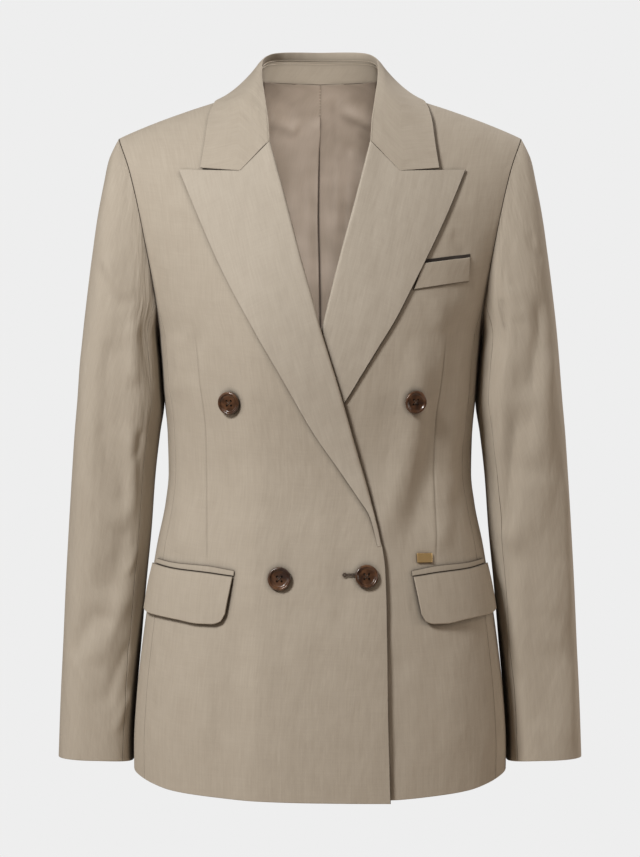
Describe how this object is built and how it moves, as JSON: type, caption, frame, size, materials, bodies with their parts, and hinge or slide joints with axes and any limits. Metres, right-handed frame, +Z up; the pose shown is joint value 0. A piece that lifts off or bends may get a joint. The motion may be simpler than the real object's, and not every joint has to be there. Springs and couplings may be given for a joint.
{
  "type": "double breasted blazer",
  "caption": "Tailored double breasted blazer in taupe wool, hollow as worn, with peak lapels, notched collar, welt chest pocket, flap side pockets and long set-in sleeves.",
  "frame": {"origin": "between the two neck points at the height of the shoulder line, where the wearer's neck and shoulders carry the blazer", "axes": "+Z up, -Y towards the blazer's front, +X towards the wearer's left"},
  "size_m": [0.5228, 0.2432, 0.7446],
  "materials": {
    "wool": "fine plain-weave wool with faint slubs, soft sheen",
    "satin": "satin lining, smooth",
    "horn": "mottled brown horn-effect resin, polished rim",
    "brass": "plain polished gold-tone metal"
  },
  "bodies": {
    "root": {"front_right_over": "wool", "front_left_under": "wool", "lapel_right_over": "wool", "lapel_left_under": "wool", "side_body_left": "wool", "side_body_right": "wool", "back_left": "wool", "back_right": "wool", "sleeve_top_left": "wool", "sleeve_under_left": "wool", "sleeve_top_right": "wool", "sleeve_under_right": "wool", "collar_leaf": "wool", "collar_stand": "wool", "chest_welt": "wool", "pocket_jet_left": "wool", "pocket_jet_right": "wool", "pocket_flap_left": "wool", "pocket_flap_right": "wool", "back_lining": "satin", "button_upper_right": "horn", "button_upper_left": "horn", "button_lower_right": "horn", "button_lower_left": "horn", "metal_bar": "brass"}
  },
  "joints": []
}
